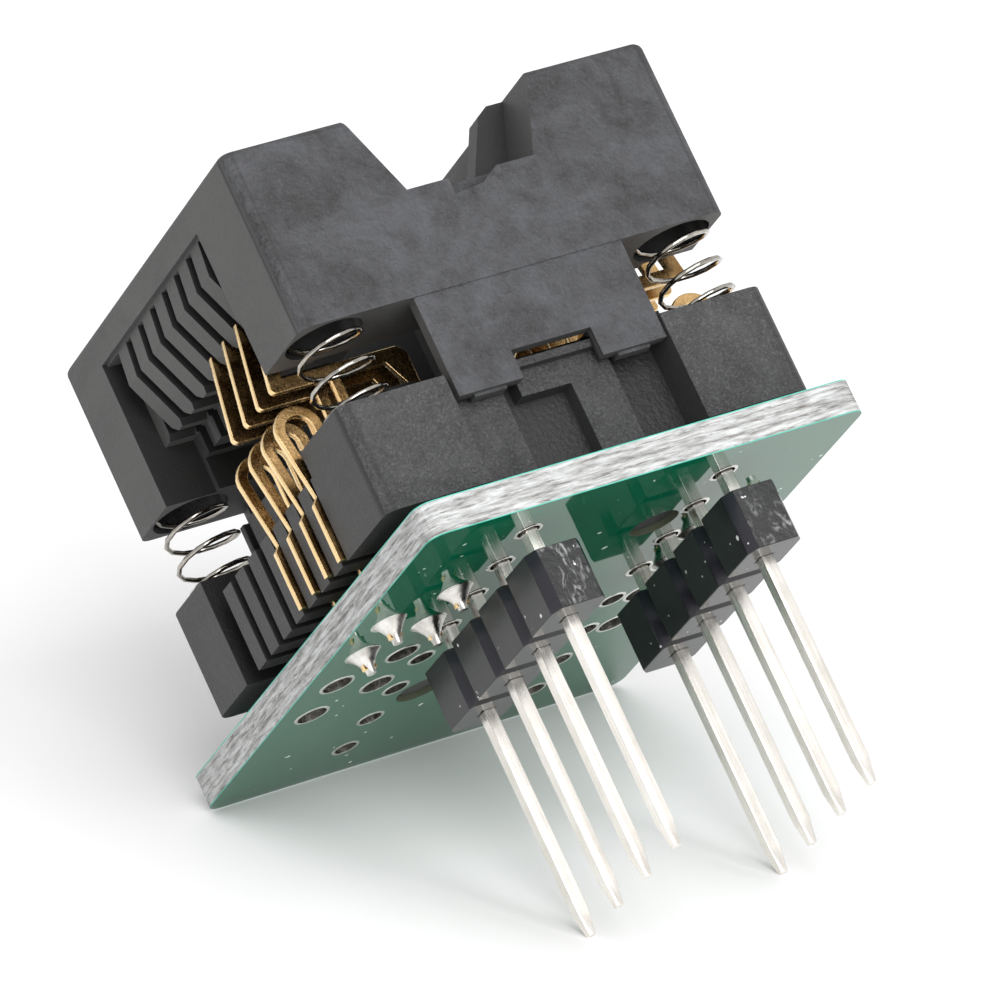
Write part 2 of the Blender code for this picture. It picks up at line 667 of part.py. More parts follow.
def make_cover(parts, cutters, material):
    low_y = SOCKET_Y - COVER_HALF_LENGTH
    high_y = SOCKET_Y + COVER_HALF_LENGTH
    shell = prism_mesh("actuator_cover", cover_outline(), low_y, high_y, "y")
    round_upright_edges(shell, COVER_CORNER_RADIUS, 4, lambda place: abs(place.x) > VALLEY_TOP_HALF)
    cover = Body("actuator_cover", shell, parts, cutters, material)
    cover.cut(box_mesh(
        "chip_pocket",
        (-POCKET_HALF_WIDTH, SOCKET_Y - POCKET_HALF_LENGTH, COVER_BOTTOM - OVERCUT),
        (POCKET_HALF_WIDTH, SOCKET_Y + POCKET_HALF_LENGTH, COVER_TOP + OVERCUT),
    ))
    hollow_x = CORE_HALF_WIDTH + HOLLOW_FIT
    hollow_y = CORE_HALF_LENGTH + HOLLOW_FIT / 2
    cover.cut(box_mesh(
        "core_hollow",
        (-hollow_x, SOCKET_Y - hollow_y, COVER_BOTTOM - OVERCUT),
        (hollow_x, SOCKET_Y + hollow_y, CORE_TOP + COVER_TRAVEL + LEVER_CLEARANCE),
    ))
    for side, label in ((-1, "left"), (1, "right")):
        outline = [(side * x, z) for x, z in window_outline()]
        window = (SOCKET_Y - WINDOW_HALF_LENGTH, SOCKET_Y + WINDOW_HALF_LENGTH)
        cover.cut(prism_mesh("window_" + label, outline, *window, "y"))
        bar_top = LEVER_TOP + COVER_TRAVEL + LEVER_CLEARANCE
        low = COVER_BOTTOM - OVERCUT
        leg_inner = LEVER_CORNER_X - LEVER_LEG_WIDTH - LEVER_LEG_LEAN - LEVER_CLEARANCE
        cover.cut(
            boxes_mesh("lever_slots_" + label, slot_boxes(side, POCKET_HALF_WIDTH - OVERCUT, low, bar_top)),
            boxes_mesh("leg_slots_" + label, slot_boxes(side, leg_inner, low, COVER_TOP - WINDOW_SLOT_TOP)),
        )
    cover.cut(rods_mesh("spring_bores", spring_places(), SPRING_BORE_RADIUS, COVER_BOTTOM - OVERCUT,
                        SPRING_BORE_CEILING, 28))
    for mesh in tab_meshes() + clip_meshes(low_y):
        cover.join(mesh, turned_half_way(mesh, mesh.name + "_far"))
    return cover


def tab_meshes():
    """Two guide tabs that stand in the valley at the pocket's -Y end, leaning outward."""
    end = SOCKET_Y - POCKET_HALF_LENGTH - TAB_SET_BACK
    foot = VALLEY_FLOOR - TAB_THICKNESS / 2
    tabs = []
    for side, label in ((-1, "left"), (1, "right")):
        outline = [
            (TAB_INNER_X, foot),
            (VALLEY_TOP_HALF, foot),
            (VALLEY_TOP_HALF + TAB_THICKNESS, COVER_TOP - TAB_TOP_DROP),
            (TAB_INNER_X + TAB_SLOPE_RUN, COVER_TOP - TAB_TOP_DROP),
        ]
        tabs.append(prism_mesh("guide_tab_" + label, [(side * x, z) for x, z in outline], end - TAB_THICKNESS, end, "y"))
    return tabs


def clip_meshes(face):
    """The -Y clip: a plate that hangs from the cover on two feet, each with a barb behind it."""
    outer = CLIP_HALF_WIDTH
    inner = CLIP_HALF_WIDTH - CLIP_FOOT_WIDTH
    root = COVER_BOTTOM + CLIP_THICKNESS
    notch = CLIP_BOTTOM + CLIP_NOTCH_HEIGHT
    half = [(outer, root), (outer, CLIP_BOTTOM), (inner, CLIP_BOTTOM), (inner, notch)]
    outline = half + [(-x, z) for x, z in reversed(half)]
    front = SOCKET_Y - BASE_HALF_LENGTH - CLIP_PROUD
    back = front + CLIP_THICKNESS
    meshes = [prism_mesh("clip_plate", outline, front, back, "y")]
    lip_low = BASE_TOP - LIP_HEIGHT
    barb = [
        (back - BARB_DEPTH, CLIP_BOTTOM + BARB_HEIGHT / 2),
        (back, CLIP_BOTTOM + BARB_HEIGHT / 4),
        (back + BARB_DEPTH, lip_low - BARB_FIT - BARB_HEIGHT / 4),
        (back + BARB_DEPTH, lip_low - BARB_FIT),
        (back - BARB_DEPTH, lip_low - BARB_FIT),
    ]
    middle = (outer + inner) / 2
    for side, label in ((-1, "left"), (1, "right")):
        ends = (side * middle - BARB_WIDTH / 2, side * middle + BARB_WIDTH / 2)
        meshes.append(prism_mesh("barb_" + label, barb, *ends, "x"))
    return meshes


def make_springs(parts, material):
    """Four open coils with closed end turns, each standing in a base well and a cover bore."""
    low = SPRING_WELL_FLOOR + SEAT_GAP + SPRING_WIRE_RADIUS
    high = SPRING_BORE_CEILING - SEAT_GAP - SPRING_WIRE_RADIUS
    closed = 2.4 * SPRING_WIRE_RADIUS
    turns = (high - low - 2 * closed) / SPRING_PITCH
    curve = bpy.data.curves.new("return_spring", "CURVE")
    curve.dimensions = "3D"
    curve.bevel_depth = SPRING_WIRE_RADIUS
    curve.bevel_resolution = 2
    curve.use_fill_caps = True
    count = round((turns + 2) * SPRING_POINTS_PER_TURN)
    spline = curve.splines.new("POLY")
    spline.points.add(count)
    for index, point in enumerate(spline.points):
        turn = (turns + 2) * index / count
        if turn < 1:
            z = low + closed * turn
        elif turn > turns + 1:
            z = high - closed * (turns + 2 - turn)
        else:
            z = low + closed + SPRING_PITCH * (turn - 1)
        angle = 2 * math.pi * turn
        point.co = (SPRING_RADIUS * math.cos(angle), SPRING_RADIUS * math.sin(angle), z, 1.0)
    curve.materials.append(material)
    for index, (x, y) in enumerate(spring_places()):
        label = ("near_left", "near_right", "far_left", "far_right")[index]
        spring = bpy.data.objects.new("return_spring_" + label, curve)
        parts.objects.link(spring)
        spring.location = (x, y, 0.0)


def build():
    remove_everything()
    parts = new_collection("ic_programming_adapter")
    cutters = new_collection("cutters")
    header_plastic = new_material("header_plastic", (0.028, 0.029, 0.032), 0.42)
    pin_metal = new_material("pin_metal", (0.78, 0.74, 0.68), 0.22, 1.0)
    solder = new_material("solder", (0.72, 0.71, 0.68), 0.38, 1.0)
    board_green = new_material("board_green", (0.01, 0.13, 0.065), 0.18)
    base_plastic = new_material("base_plastic", (0.022, 0.022, 0.024), 0.6)
    cover_plastic = new_material("cover_plastic", (0.045, 0.045, 0.048), 0.5)
    contact_gold = new_material("contact_gold", (0.83, 0.57, 0.22), 0.28, 1.0)
    spring_steel = new_material("spring_steel", (0.62, 0.61, 0.6), 0.25, 1.0)

    make_headers(parts, cutters, header_plastic)
    make_pins(parts, cutters, pin_metal, solder)
    make_board(parts, cutters, board_green)
    make_base(parts, cutters, base_plastic)
    cover = make_cover(parts, cutters, cover_plastic)
    make_contacts(parts, cutters, contact_gold, solder)
    make_springs(parts, spring_steel)

    # The cover slides down on its springs, so it hangs from an empty on the slide's axis
    slide = bpy.data.objects.new("cover_slide", None)
    parts.objects.link(slide)
    slide.location = (0.0, SOCKET_Y, COVER_BOTTOM)
    cover.item.parent = slide
    cover.item.matrix_parent_inverse = Matrix.Translation(-slide.location)


build()
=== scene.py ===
"""Looks of the programming adapter: finishes, cover, springs, solder, holes, stage, light and camera."""

import math

import bmesh
import bpy
from mathutils import Matrix, Vector, noise


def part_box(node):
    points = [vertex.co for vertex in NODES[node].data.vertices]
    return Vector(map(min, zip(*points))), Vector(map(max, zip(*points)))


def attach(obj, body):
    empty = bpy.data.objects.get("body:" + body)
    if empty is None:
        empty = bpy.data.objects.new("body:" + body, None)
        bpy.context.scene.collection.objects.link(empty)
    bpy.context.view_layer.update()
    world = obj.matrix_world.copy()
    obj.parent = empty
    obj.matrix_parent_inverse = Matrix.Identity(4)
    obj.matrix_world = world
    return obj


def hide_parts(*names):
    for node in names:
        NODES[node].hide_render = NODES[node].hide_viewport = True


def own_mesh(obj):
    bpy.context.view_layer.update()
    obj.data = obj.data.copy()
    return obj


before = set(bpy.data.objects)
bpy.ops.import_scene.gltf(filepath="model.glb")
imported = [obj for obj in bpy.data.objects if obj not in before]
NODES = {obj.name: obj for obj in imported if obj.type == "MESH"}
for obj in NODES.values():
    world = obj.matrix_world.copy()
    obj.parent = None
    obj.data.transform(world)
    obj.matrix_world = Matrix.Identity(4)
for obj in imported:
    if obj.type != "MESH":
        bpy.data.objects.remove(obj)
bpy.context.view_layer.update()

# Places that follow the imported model, in metres
BOARD_LOW, BOARD_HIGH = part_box("circuit_board")
BASE_LOW, BASE_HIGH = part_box("socket_base")
COVER_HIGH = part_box("actuator_cover")[1]
BOARD_MIDDLE_Y = (BOARD_LOW.y + BOARD_HIGH.y) / 2
BOARD_HALF_Y = (BOARD_HIGH.y - BOARD_LOW.y) / 2
SOCKET_Y = (BASE_LOW.y + BASE_HIGH.y) / 2

# Patterns of pins and contacts: eight places a side, of which four have one
PLACES = 8
FITTED = 4
PIN_PITCH = 0.00254
PIN_ROW_X = 0.00381
CONTACT_PITCH = 0.00127
HEADER_HALF_LENGTH = FITTED / 2 * PIN_PITCH
MIDDLE_PLACE = (PLACES - 1) / 2
LAST_CONTACT = MIDDLE_PLACE * CONTACT_PITCH
FIRST_Y = SOCKET_Y - LAST_CONTACT

# Half a turn round the socket's upright axis
TO_SOCKET = Matrix.Translation((0, SOCKET_Y, 0))
TO_ORIGIN = Matrix.Translation((0, -SOCKET_Y, 0))
TURN = TO_SOCKET @ Matrix.Rotation(math.pi, 4, "Z") @ TO_ORIGIN

# The cover's walls, valley and pocket
HALF_WIDTH = COVER_HIGH.x
HALF_LENGTH = 0.0084
COVER_TOP = COVER_HIGH.z
CORE_TOP = BASE_HIGH.z
COVER_BOTTOM = CORE_TOP + 0.0016
TRAVEL = 0.0025
CORNER_RADIUS = 0.00048
CORNER_SEGMENTS = 5
RIM_RADIUS = 0.00028
RIM_SEGMENTS = 3
VALLEY_TOP = 0.00362
VALLEY_FOOT = 0.00247
VALLEY_FLOOR = COVER_TOP - 0.00297
POCKET_WIDTH = 0.0032
POCKET_LENGTH = 0.0052
CORE_WIDTH = 0.0063
CORE_LENGTH = 0.0051
CORE_ROOM = 0.0002
OVER = 0.0005

# The side windows, their fingers and the slots between them
WINDOW_TOP = COVER_TOP - 0.00116
WINDOW_FRAME = 0.00012
KNEE_DROP = 0.00138
TIP_DROP = 0.00346
FINGER_BACK = 0.00018
KNEE_BACK = 0.00002
TIP_BACK = 0.00092
TIP_CHAMFER = 0.00022
SLOT = 0.00047
SLOT_STOP = 0.0001
SHORT_REST = 0.00025
LONG_REST = 0.00093
END_GAP = 0.0009
LEVER_TOP = CORE_TOP + 0.0015
LEVER_ROOM = 0.0003
LEVER_SIDE = 0.00001

# The notch in the valley's ledge
LEDGE_LEFT = 0.00086
LEDGE_RIGHT = 0.001
LEDGE_BEND = 0.0003
LEDGE_DEEP = 0.0006
LEDGE_SHALLOW = 0.00045
LEDGE_REACH = 0.0006

# Guide tabs, clips and spring bores
TAB_INNER = 0.00082
TAB_RUN = 0.00165
TAB_CORNER = 0.00045
TAB_SLOPE = 0.65
TAB_DEPTH = 0.00085
TAB_BACK = 0.00015
TAB_BELOW = 0.00005
CLIP_CENTRE = 0.00008
CLIP_WIDTH = 0.00405
CLIP_DEPTH = 0.00045
CLIP_BACK = 0.00004
CLIP_LOW = COVER_BOTTOM - 0.0037
FOOT_WIDTH = 0.0025
NOTCH_RISE = 0.00105
BARB_WIDTH = 0.00125
BARB_DROP = 0.00012
BARB_DEPTH = 0.00028
SPRING_X = 0.0068
SPRING_Y = 0.00685
BORE_RADIUS = 0.0014
BORE_DEPTH = 0.002
BORE_SIDES = 32

# Board holes, solder fillets and spring wire
PIN_HOLE_RADIUS = 0.00044
TAIL_HOLE_RADIUS = 0.00057
PLATING = 0.00003
RING_WIDTH = 0.00009
RING_DEPTH = 0.000015
BARREL_SIDES = 28
FILLET_TIP = 0.00017
FILLET_SPREAD = 1.04
FILLET_CURVE = 2.1
FILLET_SHORTEST = 0.86
FILLET_SUNK = 0.00001
FILLET_RINGS = 9
FILLET_SIDES = 20
FILLET_WOBBLE = 0.22
FILLET_SEED = 3.1
LUMPS_ROUND = 0.9
LUMPS_UP = 900.0
LUMPS_SHIFT = 1.7
WIRE_THINNER = 0.00002

# Softened edges
BASE_EDGE = 0.00006
COVER_EDGE = 0.00005
CONTACT_EDGE = 0.00004
HEADER_EDGE = 0.00003
PIN_EDGE = 0.00003
EDGE_SEGMENTS = 2
TOUCH = 1e-6
FLAT_ANGLE = math.radians(1.0)
EDGE_ANGLE = math.radians(28)
SMOOTH_ANGLE = math.radians(35)

# Where a finish changes, as distances from the middle or from a face
OUTER_END = (0.0068, 0.0072)
HEADER_SKIN = 0.0001
BOARD_LAYERS = 4
MASK_FULL = 0.00002
MASK_NONE = 0.00005
EDGE_FULL = 0.0006
EDGE_NONE = 0.0008

# Stage and light
FLOOR_GAP = 0.00003
FLOOR_SIZE = 0.6
FLOOR_TONE = 0.9
FLOOR_GLOW = 0.03
BRIGHT_SIDE = (0.48, -0.88, 0.0)
BRIGHT_RANGE = (-0.9, 0.7)
BRIGHTNESS = (0.54, 0.88)
LAMP_AIM = Vector((0.0, 0.005, 0.006))
LAMP_RISE = 0.12
LAMP_SHIFT = Vector((-0.02, -0.4, -0.1))
LAMP_SIZE = 0.4
LAMP_POWER = 2.2

# Camera, fitted to the photograph
CAMERA_RIGHT = Vector((0.84345, -0.34838, -0.40896))
CAMERA_UP = Vector((0.24969, -0.41965, 0.87266))
CAMERA_BACK = Vector((-0.47563, -0.83815, -0.26702))
CAMERA_PLACE = Vector((-0.13577, -0.235356, -0.069051))
CAMERA_LENS = 309.77
CAMERA_NEAR = 0.01
CAMERA_FAR = 5.0
SENSOR = 36.0


def pin_rows():
    """Places of the sixteen pin pattern, in two rows."""
    places = []
    for side in (-1, 1):
        for index in range(PLACES):
            places.append((side * PIN_ROW_X, (index - (FITTED - 1) / 2) * PIN_PITCH))
    return places


def tail_columns():
    """Places of all contact tails: two staggered columns a side, as the fitted ones stand."""
    places = []
    for side, label in ((-1, "left"), (1, "right")):
        columns = []
        for index in (1, 2):
            low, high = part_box("tail_solder_%s_%d" % (label, index))
            columns.append(abs((low.x + high.x) / 2))
        for index in range(PLACES):
            y = SOCKET_Y + (index - MIDDLE_PLACE) * CONTACT_PITCH
            places.append((side * columns[index % 2], y))
    return places


HOLES = [(place, PIN_HOLE_RADIUS) for place in pin_rows()]
HOLES += [(place, TAIL_HOLE_RADIUS) for place in tail_columns()]


def names(stem):
    """CAD nodes whose names start with a stem."""
    return sorted(name for name in NODES if name.startswith(stem))


class Finish:
    """A Principled material that is built up node by node."""

    def __init__(self, name):
        self.material = bpy.data.materials.new(name)
        self.material.use_nodes = True
        self.tree = self.material.node_tree
        self.shader = self.tree.nodes["Principled BSDF"]
        place = self.tree.nodes.new("ShaderNodeTexCoord")
        self.place = place.outputs["Object"]
        self.normal = place.outputs["Normal"]

    def add(self, kind, **inputs):
        """A node with its inputs set or linked, found by name or by number: i0, i1 and so on."""
        node = self.tree.nodes.new(kind)
        for key, value in inputs.items():
            if hasattr(node, key) and key not in node.inputs:
                setattr(node, key, value)
                continue
            numbered = key[0] == "i" and key[1:].isdigit()
            self.feed(node.inputs[int(key[1:]) if numbered else key], value)
        return node

    def feed(self, socket, value):
        """Link an output to an input, or set the input to a value."""
        if isinstance(value, bpy.types.NodeSocket):
            self.tree.links.new(value, socket)
        else:
            socket.default_value = value

    def set(self, **inputs):
        """Inputs of the Principled shader, written with underscores for spaces."""
        for key, value in inputs.items():
            self.feed(self.shader.inputs[key.replace("_", " ")], value)

    def noise(self, scale, detail, rough, vector=None, warp=0.0):
        """Noise from 0 to 1, scale in features a metre."""
        node = self.add("ShaderNodeTexNoise", Vector=vector or self.place, Scale=scale, Detail=detail,
                        Roughness=rough, Distortion=warp)
        return node.outputs["Fac"]

    def math(self, operation, first, second=0.0):
        """A sum or other measure of one or two values."""
        return self.add("ShaderNodeMath", operation=operation, i0=first, i1=second).outputs[0]

    def times(self, first, second):
        """One value times another."""
        return self.math("MULTIPLY", first, second)

    def size(self, value):
        """A value without its sign."""
        return self.math("ABSOLUTE", value)

    def blend(self, first, second, share):
        """Two values mixed, with a share of the first."""
        return self.math("ADD", self.times(first, share), self.times(second, 1.0 - share))

    def span(self, value, low, high, new_low=0.0, new_high=1.0):
        """A value stretched from one range to another, and clamped."""
        ranges = {"From Min": low, "From Max": high, "To Min": new_low, "To Max": new_high}
        return self.add("ShaderNodeMapRange", Value=value, **ranges).outputs[0]

    def mix(self, share, first, second):
        """Two colours mixed, with a share of the second."""
        return self.add("ShaderNodeMix", data_type="RGBA", i0=share, i6=first, i7=second).outputs[2]

    def split(self, vector):
        """The x, y and z of a vector."""
        return self.add("ShaderNodeSeparateXYZ", Vector=vector).outputs

    def stretched(self, x, y, z):
        """Coordinates scaled along each axis."""
        return self.add("ShaderNodeVectorMath", operation="MULTIPLY", i0=self.place, i1=(x, y, z)).outputs[0]

    def bump(self, height, distance, strength, under=None):
        """A normal bent by a height, on top of another one where given."""
        node = self.add("ShaderNodeBump", Height=height, Distance=distance, Strength=strength)
        if under is not None:
            self.feed(node.inputs["Normal"], under)
        return node.outputs[0]


def rgb(red, green, blue):
    """An opaque colour."""
    return (red, green, blue, 1.0)


def moulded_plastic(name, end_tones, side_tones, speck_tone, speck_share, grain):
    """Glass-filled plastic: coarse end faces, smooth side faces, rounded corners edged with dark lines."""
    finish = Finish(name)
    normal = finish.split(finish.normal)
    across = finish.size(normal[0])
    along = finish.size(normal[1])
    # Only the outermost end faces are coarse; the end faces further in get painted shade, near black
    faces_end = finish.span(along, 0.35, 0.6)
    y = finish.split(finish.place)[1]
    outer = finish.span(finish.size(finish.math("SUBTRACT", y, SOCKET_Y)), *OUTER_END)
    end = finish.times(faces_end, outer)
    inner = finish.times(faces_end, finish.math("SUBTRACT", 1.0, outer))
    # Flow marks, and pale specks of glass on the ends
    cloud = finish.noise(260.0, 4.0, 0.55, warp=1.5)
    patch = finish.noise(1400.0, 3.0, 0.55, warp=0.6)
    flow = finish.span(finish.blend(cloud, patch, 0.65), 0.38, 0.62)
    speck = finish.noise(11000.0, 2.5, 0.6, warp=0.4)
    pale = finish.times(finish.span(speck, 0.5, 0.7), speck_share)
    end_tone = finish.mix(pale, finish.mix(flow, end_tones[0], end_tones[1]), speck_tone)
    side_tone = finish.mix(finish.span(cloud, 0.3, 0.7), side_tones[0], side_tones[1])
    tone = finish.mix(end, side_tone, end_tone)
    # Painted shade: end faces further in are mixed most of the way to near black
    tone = finish.mix(finish.times(inner, 0.85), tone, rgb(0.006, 0.006, 0.006))
    # The corner's rounding is a paler band between two dark lines
    turn = finish.math("ARCTAN2", along, across)
    upright = finish.span(finish.size(normal[2]), 0.4, 0.2)
    first = finish.times(finish.span(turn, 0.04, 0.16), finish.span(turn, 0.42, 0.26))
    last = finish.times(finish.span(turn, 1.2, 1.36), finish.span(turn, 1.54, 1.46))
    lines = finish.times(finish.math("MAXIMUM", first, finish.times(last, 0.6)), upright)
    tone = finish.mix(finish.times(lines, 0.62), tone, rgb(0.012, 0.012, 0.013))
    finish.set(Base_Color=tone, Roughness=finish.span(speck, 0.3, 0.7, 0.5, 0.66), Specular_IOR_Level=0.4)
    # Grain, coarse on the ends and fine everywhere
    coarse = finish.noise(5600.0, 3.0, 0.6)
    fine = finish.noise(15000.0, 2.0, 0.5)
    height = finish.times(coarse, finish.span(end, 0.0, 1.0, grain * 0.12, grain))
    rough = finish.bump(height, 0.00009, 1.0)
    finish.set(Normal=finish.bump(fine, 0.000012, 0.5, rough))
    return finish.material


def header_plastic():
    """Header strips: satin sides, corners paler and bluish as a painted sheen, rough scratched ends."""
    finish = Finish("header_finish")
    normal = finish.split(finish.normal)
    across = finish.size(normal[0])
    along = finish.size(normal[1])
    # Painted sheen: where the normal turns between side and end, the corner is mixed to a paler bluish tone
    corner = finish.times(finish.span(across, 0.3, 0.5), finish.span(along, 0.3, 0.5))
    y = finish.split(finish.place)[1]
    reach = HEADER_HALF_LENGTH - HEADER_SKIN
    outermost = finish.span(finish.size(y), reach - HEADER_SKIN, reach)
    end = finish.times(finish.span(along, 0.88, 0.95), outermost)
    cloud = finish.noise(900.0, 3.0, 0.5)
    tone = finish.mix(cloud, rgb(0.005, 0.005, 0.006), rgb(0.01, 0.01, 0.011))
    tone = finish.mix(corner, tone, rgb(0.018, 0.018, 0.024))
    # Pale scratches where the strip was snapped off
    scratch = finish.noise(1.0, 4.0, 0.65, finish.stretched(2600.0, 2600.0, 1300.0), 2.0)
    smear = finish.noise(700.0, 3.0, 0.6, warp=1.0)
    pale = finish.times(finish.span(scratch, 0.5, 0.72), finish.span(smear, 0.4, 0.62))
    rough_end = finish.mix(pale, rgb(0.02, 0.02, 0.021), rgb(0.42, 0.42, 0.43))
    tone = finish.mix(end, tone, rough_end)
    dust = finish.span(finish.noise(3600.0, 1.0, 0.3), 0.775, 0.79)
    tone = finish.mix(finish.times(dust, 0.8), tone, rgb(0.85, 0.85, 0.84))
    finish.set(Base_Color=tone, Roughness=finish.span(end, 0.0, 1.0, 0.2, 0.5), Specular_IOR_Level=0.5)
    rough = finish.times(finish.noise(3600.0, 5.0, 0.65), finish.span(end, 0.0, 1.0, 0.02, 1.0))
    finish.set(Normal=finish.bump(rough, 0.00016, 0.8))
    return finish.material


def solder_mask():
    """Board: glossy green mask on both faces, streaky glass fibre at the sawn edges."""
    finish = Finish("board_finish")
    x, y, z = finish.split(finish.place)
    normal = finish.split(finish.normal)
    face = finish.span(finish.size(normal[2]), 0.6, 0.8)
    low = BOARD_LOW.z
    high = BOARD_HIGH.z
    # Short bright strokes of fibre, and brown broken lines between the layers
    stroke = finish.noise(1.0, 4.0, 0.7, finish.stretched(1100.0, 1100.0, 9800.0), 0.3)
    fibre = finish.noise(1.0, 3.0, 0.6, finish.stretched(500.0, 500.0, 7000.0), 0.2)
    fleck = finish.blend(stroke, fibre, 0.65)
    edge = finish.mix(finish.span(fleck, 0.36, 0.6), rgb(0.14, 0.135, 0.125), rgb(0.58, 0.59, 0.59))
    waves = 2 * math.pi * BOARD_LAYERS / (high - low)
    layer = finish.math("SINE", finish.times(finish.math("SUBTRACT", z, low), waves))
    broken = finish.noise(1.0, 4.0, 0.7, finish.stretched(1500.0, 1500.0, 9000.0), 0.4)
    brown = finish.times(finish.span(layer, 0.25, 0.8), finish.span(broken, 0.5, 0.62))
    edge = finish.mix(finish.times(brown, 0.75), edge, rgb(0.1, 0.08, 0.065))
    # The mask shows as a thin line along both rims, its green brightened as a painted highlight
    under = finish.span(z, low + MASK_NONE, low + MASK_FULL)
    over = finish.span(z, high - MASK_NONE, high - MASK_FULL)
    edge = finish.mix(finish.math("MAXIMUM", under, over), edge, rgb(0.06, 0.46, 0.36))
    # Hole walls are olive, and darker as painted shade inside the holes
    inside_x = finish.span(finish.size(x), BOARD_HIGH.x - EDGE_FULL, BOARD_HIGH.x - EDGE_NONE)
    from_middle = finish.size(finish.math("SUBTRACT", y, BOARD_MIDDLE_Y))
    inside_y = finish.span(from_middle, BOARD_HALF_Y - EDGE_FULL, BOARD_HALF_Y - EDGE_NONE)
    edge = finish.mix(finish.times(inside_x, inside_y), edge, rgb(0.075, 0.085, 0.05))
    cloud = finish.noise(260.0, 3.0, 0.5)
    mask = finish.mix(cloud, rgb(0.002, 0.088, 0.042), rgb(0.004, 0.11, 0.055))
    dust = finish.span(finish.noise(2600.0, 1.5, 0.4), 0.755, 0.775)
    mask = finish.mix(finish.times(dust, 0.85), mask, rgb(0.8, 0.85, 0.82))
    tone = finish.mix(face, edge, mask)
    finish.set(Base_Color=tone, Roughness=finish.span(face, 0.0, 1.0, 0.6, 0.035), IOR=1.55)
    rough = finish.times(fleck, finish.span(face, 0.0, 1.0, 1.0, 0.0))
    wave = finish.times(finish.noise(700.0, 1.5, 0.4), finish.span(face, 0.0, 1.0, 0.0, 0.025))
    finish.set(Normal=finish.bump(finish.math("ADD", rough, wave), 0.00006, 0.9))
    return finish.material


def plated_metal(name, dark, light, roughness, grain, stretch, bump):
    """Metal with a drawn or plated surface."""
    finish = Finish(name)
    drawn = finish.noise(1.0, 4.0, 0.6, finish.stretched(*stretch), 0.4)
    cloud = finish.noise(grain, 3.0, 0.5)
    share = finish.blend(drawn, cloud, 0.5)
    finish.set(Base_Color=finish.mix(finish.span(share, 0.35, 0.65), dark, light), Metallic=1.0,
               Roughness=finish.span(drawn, 0.3, 0.7, roughness[0], roughness[1]))
    finish.set(Normal=finish.bump(drawn, bump, 0.5))
    return finish.material


def contact_gold():
    """Gold strip: bright rolled edges, flat faces painted dark brown as a painted dark reflection."""
    finish = Finish("contact_finish")
    normal = finish.split(finish.normal)
    # Painted reflection: faces that face along y are mixed to a dark brown, for the dark parts they mirror
    flat = finish.span(finish.size(normal[1]), 0.8, 0.97)
    cloud = finish.noise(800.0, 2.0, 0.5)
    bright = finish.mix(cloud, rgb(0.84, 0.58, 0.26), rgb(0.95, 0.76, 0.46))
    flat_painted_reflection = finish.mix(finish.span(cloud, 0.35, 0.65), rgb(0.22, 0.125, 0.045), rgb(0.62, 0.4, 0.18))
    grain = finish.noise(9000.0, 3.0, 0.6)
    finish.set(Base_Color=finish.mix(flat, bright, flat_painted_reflection), Metallic=1.0,
               Roughness=finish.span(grain, 0.3, 0.7, 0.2, 0.32))
    finish.set(Normal=finish.bump(grain, 0.00002, 0.35))
    return finish.material


def soften(item, bevel):
    """Soften the sharp edges of a piece."""
    weld = item.modifiers.new("weld", "WELD")
    weld.merge_threshold = TOUCH
    flat = item.modifiers.new("flat", "DECIMATE")
    flat.decimate_type = "DISSOLVE"
    flat.angle_limit = FLAT_ANGLE
    edge = item.modifiers.new("edge", "BEVEL")
    edge.width = bevel
    edge.segments = EDGE_SEGMENTS
    edge.limit_method = "ANGLE"
    edge.angle_limit = EDGE_ANGLE
    edge.harden_normals = False
    item.data.shade_smooth()
    shade = item.modifiers.new("shade", "WEIGHTED_NORMAL")
    shade.keep_sharp = True


def dress(stem, material, bevel=0.0):
    """Give CAD nodes their finish and soften their edges."""
    for name in names(stem):
        item = NODES[name]
        item.data.materials.clear()
        item.data.materials.append(material)
        if bevel:
            soften(item, bevel)


def shape(name, bm, material=None):
    """An object from a bmesh."""
    bmesh.ops.recalc_face_normals(bm, faces=bm.faces)
    mesh = bpy.data.meshes.new(name)
    bm.to_mesh(mesh)
    bm.free()
    if material is not None:
        mesh.materials.append(material)
    item = bpy.data.objects.new(name, mesh)
    bpy.context.scene.collection.objects.link(item)
    return item


def new_piece(name, bm, material, body):
    """A scene piece from a bmesh, riding on a body."""
    piece = shape(name, bm, material)
    piece.data.shade_smooth()
    piece.data.set_sharp_from_angle(angle=SMOOTH_ANGLE)
    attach(piece, body)
    return piece


def prism(outline, start, end, along):
    """A closed outline given a thickness along x or y."""
    places = {"x": lambda a, b, c: (c, a, b), "y": lambda a, b, c: (a, c, b)}[along]
    bm = bmesh.new()
    ends = [[bm.verts.new(places(a, b, c)) for a, b in outline] for c in (start, end)]
    for ring in ends:
        bm.faces.new(ring)
    for step in range(len(outline)):
        after = (step + 1) % len(outline)
        bm.faces.new((ends[0][step], ends[0][after], ends[1][after], ends[1][step]))
    return bm


def block(low, high):
    """A box between two corners."""
    outline = [(low[0], low[2]), (high[0], low[2]), (high[0], high[2]), (low[0], high[2])]
    return prism(outline, low[1], high[1], "y")


def lathe(bm, centre, profile, sides, wobble=0.0, seed=0.0, closed=False):
    """Turn (radius, height) points round an upright axis; wobble makes it uneven."""
    rings = []
    for radius, height in profile:
        ring = []
        for step in range(sides):
            angle = 2 * math.pi * step / sides
            out = Vector((math.cos(angle), math.sin(angle), 0.0))
            lumps = out * LUMPS_ROUND + Vector((seed, seed * LUMPS_SHIFT, height * LUMPS_UP))
            uneven = 1.0 + wobble * noise.noise(lumps)
            ring.append(bm.verts.new(Vector((*centre, height)) + out * radius * uneven))
        rings.append(ring)
    after_rings = rings[1:] + rings[:1] if closed else rings[1:]
    for low, high in zip(rings, after_rings):
        for step in range(sides):
            after = (step + 1) % sides
            bm.faces.new((low[step], low[after], high[after], high[step]))
    if not closed:
        bm.faces.new(rings[0])
        bm.faces.new(rings[-1])


